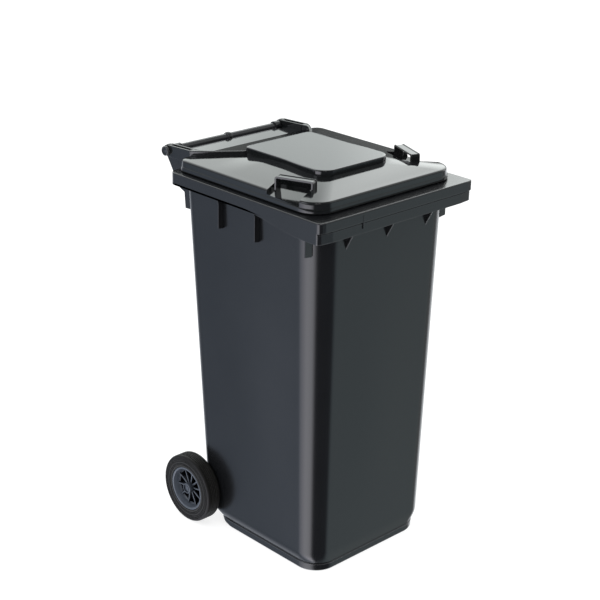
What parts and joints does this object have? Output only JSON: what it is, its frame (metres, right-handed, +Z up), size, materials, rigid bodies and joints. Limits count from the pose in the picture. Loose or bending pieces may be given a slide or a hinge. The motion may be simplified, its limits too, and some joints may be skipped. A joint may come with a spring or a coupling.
{
  "type": "two-wheeled refuse bin",
  "caption": "Tapered moulded refuse bin with a lifting comb, a hinged lid with grip loops, a rear handle bar and spoked wheels with solid tyres on a steel axle.",
  "frame": {"origin": "on the floor, midway between the comb's front face and the back of the hinge eyes", "axes": "+X to the right seen from the front, the front faces -Y, +Z up"},
  "size_m": [0.566, 0.686, 1.109],
  "materials": {
    "body": "semi-gloss moulded polyethylene, dark grey",
    "lid": "glossy moulded polyethylene, dark grey",
    "handle_bar": "semi-gloss moulded plastic, dark grey",
    "hinge_pin": "semi-gloss moulded plastic, dark grey",
    "axle": "plain drawn steel bar",
    "axle_washer": "plain moulded plastic",
    "wheel": "satin moulded plastic, slate grey",
    "tyre": "solid rubber, finely ringed",
    "wheel_clip": "spring steel",
    "hub_cap": "satin moulded plastic, slate grey"
  },
  "bodies": {
    "container": {"body": "body", "handle_bar": "handle_bar", "hinge_pin_left": "hinge_pin", "hinge_pin_right": "hinge_pin", "axle": "axle", "axle_washer_left": "axle_washer", "axle_washer_right": "axle_washer", "wheel_clip_left": "wheel_clip", "wheel_clip_right": "wheel_clip"},
    "lid": {"lid": "lid"},
    "wheel_left": {"wheel_left": "wheel", "tyre_left": "tyre", "hub_cap_left": "hub_cap"},
    "wheel_right": {"wheel_right": "wheel", "tyre_right": "tyre", "hub_cap_right": "hub_cap"}
  },
  "joints": [
    {"name": "lid_hinge", "type": "hinge", "parent": "container", "child": "lid", "pos_m": [0, 0.324, 1.07], "axis": [-1, 0, 0], "range_deg": [0, 270]},
    {"name": "left_wheel_spin", "type": "hinge", "parent": "container", "child": "wheel_left", "pos_m": [-0.252, 0.1905, 0.1], "axis": [1, 0, 0], "continuous": true},
    {"name": "right_wheel_spin", "type": "hinge", "parent": "container", "child": "wheel_right", "pos_m": [0.252, 0.1905, 0.1], "axis": [1, 0, 0], "continuous": true}
  ]
}
